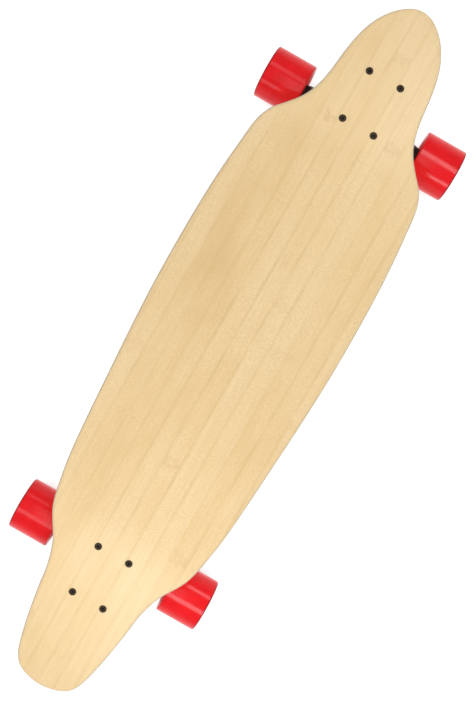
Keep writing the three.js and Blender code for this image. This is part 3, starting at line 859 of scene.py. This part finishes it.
def make_riser_pad(end):
    node = f"{end}_riser_pad"
    normal = pad_normal(end)
    place = plate_place(node, normal)
    local = node_points(node) - np.array(place.translation)
    x, y, z = (np.abs(local @ np.array(place.col[k][:3])).max() for k in range(3))
    fits = [bolt_fit(end, number).place.translation for number in range(1, 5)]
    inverse = place.inverted()
    holes = [tuple((inverse @ point)[:2]) for point in fits]
    pad = rounded_plate(f"{end}_riser_block", place, 2 * x, 2 * y, RISER_CORNER, 2 * z,
                        holes, RISER_HOLE, RISER_BEVEL, RISER)
    stand_for(pad, node, "board")


def cast_piece(name, node, voxel, rounds, keep, material):
    """A casting: the CAD node's own shape with its edges rounded off, by a fine remesh and smoothing."""
    source = frame["nodes"][node].data
    work = bmesh.new()
    work.from_mesh(source)
    bmesh.ops.remove_doubles(work, verts=work.verts, dist=1e-6)
    piece = finish_mesh(name, work, Matrix.Identity(4), [material])
    remesh = piece.modifiers.new("remesh", "REMESH")
    remesh.mode = "VOXEL"
    remesh.voxel_size = voxel
    remesh.use_smooth_shade = True
    relax = piece.modifiers.new("relax", "SMOOTH")
    relax.factor = 0.5
    relax.iterations = rounds
    thin = piece.modifiers.new("thin", "DECIMATE")
    thin.ratio = keep
    evaluated_copy(piece)
    piece.data.materials.clear()
    piece.data.materials.append(material)
    piece.data.shade_smooth()
    return piece


def make_castings(end):
    voxel = CASTING_VOXEL
    for part, body, rounds in (("hanger", f"{end}_hanger", 5), ("baseplate", "board", 4)):
        casting = cast_piece(f"{end}_{part}_casting", f"{end}_{part}", voxel, rounds, CASTING_KEEP, PAINT)
        stand_for(casting, f"{end}_{part}", body)


def kingpin_axis(end):
    """The kingpin's direction, away from the deck. It stands square to the steering axis."""
    steer = Vector(joints[f"{end}_steer"]["axis"]).normalized()
    return Vector((0, ENDS[end] * steer.z, -abs(steer.y)))


def make_kingpin(end):
    kingpin = kingpin_axis(end)
    fit = RoundFit(f"{end}_kingpin", kingpin)
    across, shank = KINGPIN_ACROSS, KINGPIN_SHANK
    seat = fit.low + KINGPIN_HEAD
    waist = across / 2 * NUT_WAIST

    def profile(angle):
        corner = hex_radius(across, angle)
        drop = (corner - waist) * 0.6
        return [
            (0, fit.low), (waist, fit.low), (corner, fit.low + drop), (corner, seat),
            (shank + 0.4 * MM, seat), (shank, seat + 0.4 * MM), (shank, fit.high - KINGPIN_THREAD),
            *thread(shank, fit.high - KINGPIN_THREAD + 0.2 * MM, fit.high - 0.8 * MM, 0.45 * MM),
            (shank - 0.7 * MM, fit.high), (0, fit.high),
        ]

    bolt = revolve(f"{end}_kingpin_bolt", profile, 48, fit.place, [BLACK_OXIDE], closed=False)
    stand_for(bolt, f"{end}_kingpin", "board")
    nut_fit = RoundFit(f"{end}_kingpin_nut", kingpin)
    materials = [BLACK_OXIDE, NYLON]
    nut = lock_nut(f"{end}_kingpin_nut_lock", nut_fit, across, KINGPIN_NUT_BORE, nut_fit.place, materials)
    stand_for(nut, f"{end}_kingpin_nut", "board")


def make_bushings(end):
    """A barrel on the deck's side of the hanger and a cone on the road's side, each in its cupped washer."""
    kingpin = kingpin_axis(end)
    bore = BUSHING_BORE
    barrel = RoundFit(f"{end}_boardside_bushing", kingpin)
    middle = (barrel.low + barrel.high) / 2
    rim = barrel.radius - BUSHING_BULGE
    profile = rounded([
        (bore, barrel.low), (rim, barrel.low, 1.2 * MM), (barrel.radius, middle, 4 * MM),
        (rim, barrel.high, 1.2 * MM), (bore, barrel.high),
    ], 0.4 * MM, 4)
    piece = revolve(f"{end}_boardside_barrel", profile, 64, barrel.place, [BUSHING])
    washer_end, ring_end = (barrel.place @ Vector((0, 0, height)) for height in (barrel.low, barrel.high))
    spring_between(piece, f"{end}_boardside_bushing", washer_end, ring_end)
    cone = RoundFit(f"{end}_roadside_bushing", kingpin)
    profile = rounded([
        (bore, cone.low), (cone.radius, cone.low, 1 * MM), (cone.radius - 0.4 * MM, cone.low + 3 * MM, MM),
        (CONE_NOSE, cone.high, 1.2 * MM), (bore, cone.high),
    ], 0.4 * MM, 4)
    piece = revolve(f"{end}_roadside_cone", profile, 64, cone.place, [BUSHING])
    ring_end, washer_end = (cone.place @ Vector((0, 0, height)) for height in (cone.low, cone.high))
    spring_between(piece, f"{end}_roadside_bushing", washer_end, ring_end)
    for place_name, lip_towards in (("boardside", 1), ("roadside", -1)):
        fit = RoundFit(f"{end}_{place_name}_washer", kingpin)
        base, face = (fit.low, fit.high) if lip_towards > 0 else (fit.high, fit.low)
        lip = face + lip_towards * WASHER_LIP
        outer = fit.radius + 0.2 * MM
        inside = outer - WASHER_WALL
        profile = rounded([
            (WASHER_BORE, base), (outer, base, 0.8 * MM), (outer, lip, 0.25 * MM),
            (inside, lip, 0.25 * MM), (inside, face, 0.2 * MM), (WASHER_BORE, face),
        ], 0.15 * MM, 3)
        washer = revolve(f"{end}_{place_name}_cup_washer", profile, 64, fit.place, [BLACK_OXIDE])
        stand_for(washer, f"{end}_{place_name}_washer", "board")


def make_pivot_cup(end):
    joint = joints[f"{end}_steer"]
    fit = RoundFit(f"{end}_pivot_cup", joint["axis"], joint["pos_m"])
    bore = fit.radius - CUP_WALL
    profile = rounded([
        (0, fit.low, 0), (fit.radius, fit.low, 0.8 * MM), (fit.radius, fit.high, 0.5 * MM),
        (bore, fit.high, 0.5 * MM), (bore, fit.low + CUP_FLOOR, 1.2 * MM),
        (0, fit.low + CUP_FLOOR - 0.4 * MM, 0),
    ], 0.5 * MM, 3, closed=False)
    cup = revolve(f"{end}_pivot_cup_seat", profile, 48, fit.place, [PIVOT], closed=False)
    stand_for(cup, f"{end}_pivot_cup", "board")


def make_axle(end):
    fit = RoundFit(f"{end}_axle", ACROSS)
    radius = AXLE_RADIUS
    start = fit.high - AXLE_THREAD
    right = [(radius, start), *thread(radius, start + 0.2 * MM, fit.high - 0.8 * MM, 0.4 * MM),
             (radius - 0.7 * MM, fit.high), (0, fit.high)]
    left = [(r, -h) for r, h in reversed(right)]
    place = axis_place(fit.place.translation, ACROSS, UP)
    rod = revolve(f"{end}_axle_rod", [*left, *right], 40, place, [STEEL], closed=False)
    stand_for(rod, f"{end}_axle", f"{end}_hanger")


# ------------------------------------------------------------------ wheels


def wheel_fit(end, side, part):
    """Measures a wheel's part outboard from the board's centre plane, along the axle."""
    joint = joints[f"{end}_{side}_spin"]
    hub = Vector((0, joint["pos_m"][1], joint["pos_m"][2]))
    fit = RoundFit(f"{end}_{side}_{part}", ACROSS * SIDES[side], hub)
    fit.place = axis_place(hub, ACROSS * SIDES[side], UP)
    return fit


def make_tyre(end, side):
    """Urethane tread with rounded lips and dished side faces that run down to the core."""
    fit = wheel_fit(end, side, "tyre")
    core = wheel_fit(end, side, "core")
    tread = fit.place.translation.z
    bore = core.radius + 0.04 * MM
    low, high = fit.low, fit.high
    profile = rounded([
        (bore, core.low + 0.6 * MM, 0.2 * MM), (bore + 2.2 * MM, core.low - 0.6 * MM, 1 * MM),
        (DISH_FLOOR, low + DISH_DEPTH, 5 * MM), (DISH_EDGE, low + 0.9 * MM, 2.2 * MM),
        (tread - TREAD_LIP, low, 0.5 * MM), (tread, low + TREAD_LIP, 0.6 * MM),
        (tread, high - TREAD_LIP, 0.6 * MM), (tread - TREAD_LIP, high, 0.5 * MM),
        (DISH_EDGE, high - 0.9 * MM, 2.2 * MM), (DISH_FLOOR, high - DISH_DEPTH, 5 * MM),
        (bore + 2.2 * MM, core.high + 0.6 * MM, 1 * MM), (bore, core.high - 0.6 * MM, 0.2 * MM),
    ], 0.5 * MM, 6)
    tyre = revolve(f"{end}_{side}_tread", profile, 144, fit.place, [URETHANE])
    stand_for(tyre, f"{end}_{side}_tyre", f"{end}_{side}_wheel")


def make_core(end, side):
    """The wheel's hub: two bearing seats, with ribs between the seat's wall and the outer wall."""
    fit = wheel_fit(end, side, "core")
    inner = wheel_fit(end, side, "inner_bearing")
    outer = wheel_fit(end, side, "outer_bearing")
    seat, bore = inner.radius + 0.05 * MM, HUB_BORE
    wall_in, wall_out = seat + 1.3 * MM, fit.radius - 1.2 * MM

    def profile(angle):
        beat = 2 * math.pi / RIBS
        off = abs((angle + beat / 2) % beat - beat / 2)
        pocket = POCKET_DEPTH * min(1.0, max(0.0, (off - RIB_HALF) / RIB_SLOPE))
        upper, lower = fit.high, fit.low
        return [
            (fit.radius, lower), (fit.radius, upper), (wall_out, upper),
            (wall_out - 0.2 * MM, upper - pocket), (wall_in + 0.2 * MM, upper - pocket),
            (wall_in, upper), (seat + 0.3 * MM, upper),
            (seat, upper - 0.3 * MM), (seat, outer.low - 0.2 * MM), (bore, outer.low - 0.2 * MM),
            (bore, inner.high + 0.2 * MM), (seat, inner.high + 0.2 * MM), (seat, lower + 0.3 * MM),
            (seat + 0.3 * MM, lower), (wall_in, lower), (wall_in + 0.2 * MM, lower + pocket),
            (wall_out - 0.2 * MM, lower + pocket), (wall_out, lower),
        ]

    core = revolve(f"{end}_{side}_hub", profile, 120, fit.place, [CORE])
    stand_for(core, f"{end}_{side}_core", f"{end}_{side}_wheel")


def make_bearing(end, side, part):
    """A sealed ball bearing: outer ring, inner ring and a recessed shield on each face."""
    fit = wheel_fit(end, side, part)
    bore, radius = AXLE_BORE, fit.radius
    shield_in, shield_out, sink = SHIELD_IN, SHIELD_OUT, SHIELD_SINK
    step, edge = 0.15 * MM, 0.1 * MM
    low, high = fit.low, fit.high
    profile = rounded([
        (bore, low), (shield_in - step, low, edge), (shield_in, low + sink, 0), (shield_out, low + sink, 0),
        (shield_out + step, low, edge), (radius, low), (radius, high), (shield_out + step, high, edge),
        (shield_out, high - sink, 0), (shield_in, high - sink, 0),
        (shield_in - step, high, edge), (bore, high),
    ], 0.35 * MM, 3)

    def pick(at, height):
        near_face = min(height - low, high - height) < sink * 1.5
        return 1 if shield_in < at < shield_out and near_face else 0

    piece = revolve(f"{end}_{side}_{part}_sealed", profile, 64, fit.place, [BEARING_STEEL, SHIELD], pick=pick)
    stand_for(piece, f"{end}_{side}_{part}", f"{end}_{side}_wheel")


def make_axle_hardware(end, side):
    """The axle nut, the two speed washers beside the bearings and the spacer between them."""
    inner = wheel_fit(end, side, "inner_bearing")
    outer = wheel_fit(end, side, "outer_bearing")
    fit = wheel_fit(end, side, "axle_nut")
    materials = [STEEL, NYLON]
    nut = lock_nut(f"{end}_{side}_axle_nut_lock", fit, AXLE_NUT_ACROSS, AXLE_BORE, fit.place, materials)
    stand_for(nut, f"{end}_{side}_axle_nut", f"{end}_hanger")
    spans = {
        "inner_washer": (SPEED_WASHER, inner.low - 1.15 * MM, inner.low - 0.1 * MM),
        "outer_washer": (SPEED_WASHER, outer.high + 0.1 * MM, fit.low - 0.1 * MM),
        "spacer": (SPACER, inner.high + 0.1 * MM, outer.low - 0.1 * MM),
    }
    for part, (radius, low, high) in spans.items():
        profile = rounded([(AXLE_BORE, low), (radius, low), (radius, high), (AXLE_BORE, high)], 0.2 * MM, 2)
        ring = revolve(f"{end}_{side}_{part}", profile, 48, fit.place, [STEEL])
        extra(ring, f"{end}_hanger")


# ------------------------------------------------------------------ assembly

make_deck()
for end in ENDS:
    for number in range(1, 5):
        make_bolt(end, number)
        make_bolt_nut(end, number)
    make_riser_pad(end)
    make_castings(end)
    make_kingpin(end)
    make_bushings(end)
    make_pivot_cup(end)
    make_axle(end)
    for side in SIDES:
        make_tyre(end, side)
        make_core(end, side)
        make_bearing(end, side, "inner_bearing")
        make_bearing(end, side, "outer_bearing")
        make_axle_hardware(end, side)

# ------------------------------------------------------------------ floor, light and camera

FLOOR_HALF = 40.0
FLOOR_GLOW = 0.97                        # the white floor shines, as a back-lit table does
PAINTED_SHADOW_REACH = 0.09                     # how far from the floor a piece still dims its glow, as a painted contact shadow
CAMERA_HEIGHT = 1.334                    # above the deck's face
CAMERA_SHIFT = (-0.0022, 0.0468)         # from the middle of the arch
CAMERA_LEAN = (0.0392, 0.0074)           # radians, about X and Y
CAMERA_ROLL = math.radians(29.74)        # the board lies across the picture
CAMERA_LENS = 59.14

# Each softbox pair hangs past one end and leans over towards the board. Its right half is the brighter one.
# An entry is: place, turn about the vertical, lean from straight down, radiance of the left and right halves.
SOFTBOXES = {
    "nose": ((0, 0.59, 0.70), math.radians(-22), math.radians(48), (2.15, 7.6)),
    "tail": ((0, -0.51, 0.66), math.radians(2), math.radians(-48), (3.8, 8.8)),
}
SOFTBOX_LENGTH = 0.72
SOFTBOX_WIDTH = 0.235
OVERHEAD_BOX = ((-0.02, 0.02, 1.28), (0.36, 1.00), 2.4)

# Studio air: radiance by the upward part of the direction, and how much of it is lost towards the dark sides.
AIR = [(0.0, 0.92), (0.1, 0.62), (0.35, 0.40), (1.0, 0.28)]
DARK_SIDES = 0.3
DARK_SPAN = (0.35, 0.85)                 # sideways part of the direction where that starts and is complete


def make_floor():
    mesh = bpy.data.meshes.new("studio_floor")
    half = FLOOR_HALF
    corners = [(-half, -half, 0), (half, -half, 0), (half, half, 0), (-half, half, 0)]
    mesh.from_pydata(corners, [], [(0, 1, 2, 3)])
    floor = bpy.data.objects.new("studio_floor", mesh)
    bpy.context.scene.collection.objects.link(floor)
    shader = Shader("studio_white", Base_Color=(0.25, 0.25, 0.25, 1), Roughness=0.9, Specular_IOR_Level=0.0,
                    Emission_Color=(1, 1, 1, 1))
    # Painted contact shadow: ambient occlusion dims the floor's glow under and beside the pieces.
    near = shader.add("ShaderNodeAmbientOcclusion", samples=8)
    near.inputs["Distance"].default_value = PAINTED_SHADOW_REACH
    shader.set(Emission_Strength=shader.span(near.outputs["AO"], 0.15, 0.62, 0.30, FLOOR_GLOW, smooth=True))
    mesh.materials.append(shader.material)


def make_world():
    """Studio air: brighter near the horizon and darker overhead, so that glossy tops stay deep in colour."""
    world = bpy.data.worlds.new("studio_air")
    bpy.context.scene.world = world
    world.use_nodes = True
    tree = world.node_tree
    where = tree.nodes.new("ShaderNodeTexCoord")
    split = tree.nodes.new("ShaderNodeSeparateXYZ")
    ramp = tree.nodes.new("ShaderNodeValToRGB")
    elements = ramp.color_ramp.elements
    while len(elements) < len(AIR):
        elements.new(0.5)
    for element, (height, radiance) in zip(elements, AIR):
        element.position = height
        element.color = (radiance, radiance, radiance, 1)
    tree.links.new(where.outputs["Generated"], split.inputs[0])
    tree.links.new(split.outputs["Z"], ramp.inputs[0])
    sideways = tree.nodes.new("ShaderNodeMath")
    sideways.operation = "ABSOLUTE"
    tree.links.new(split.outputs["X"], sideways.inputs[0])
    kept = tree.nodes.new("ShaderNodeMapRange")
    for key, number in enumerate((*DARK_SPAN, 1.0, 1.0 - DARK_SIDES)):
        kept.inputs[key + 1].default_value = number
    tree.links.new(sideways.outputs[0], kept.inputs[0])
    background = tree.nodes["Background"]
    tree.links.new(ramp.outputs[0], background.inputs["Color"])
    tree.links.new(kept.outputs[0], background.inputs["Strength"])


def softbox(name, across, along, radiance):
    light = bpy.data.lights.new(name, "AREA")
    light.shape = "RECTANGLE"
    light.size, light.size_y = across, along
    light.energy = radiance * math.pi * across * along
    lamp = bpy.data.objects.new(name, light)
    bpy.context.scene.collection.objects.link(lamp)
    lamp.visible_camera = False
    return lamp


def make_softboxes():
    for end, (position, turn, lean, radiances) in SOFTBOXES.items():
        hung = Matrix.Translation(position) @ Matrix.Rotation(turn, 4, "Z") @ Matrix.Rotation(-lean, 4, "X")
        half = SOFTBOX_LENGTH / 2
        for side, radiance in zip(("left", "right"), radiances):
            lamp = softbox(f"{end}_{side}_softbox", half, SOFTBOX_WIDTH, radiance)
            lamp.matrix_world = hung @ Matrix.Translation((SIDES[side] * half / 2, 0, 0))
    position, (across, along), radiance = OVERHEAD_BOX
    softbox("overhead_softbox", across, along, radiance).location = position


def make_camera():
    data = bpy.data.cameras.new("camera")
    data.lens = CAMERA_LENS
    data.clip_end = 50
    camera = bpy.data.objects.new("camera", data)
    bpy.context.scene.collection.objects.link(camera)
    lean = Matrix.Rotation(CAMERA_LEAN[0], 4, "X") @ Matrix.Rotation(CAMERA_LEAN[1], 4, "Y")
    turn = lean.transposed() @ Matrix.Rotation(CAMERA_ROLL, 4, "Z")
    spot = Vector((CAMERA_SHIFT[0], arch_middle + CAMERA_SHIFT[1], deck_top + CAMERA_HEIGHT))
    camera.matrix_world = Matrix.Translation(spot) @ turn
    bpy.context.scene.camera = camera


make_floor()
make_world()
make_softboxes()
make_camera()
bpy.context.scene.view_settings.view_transform = "Standard"
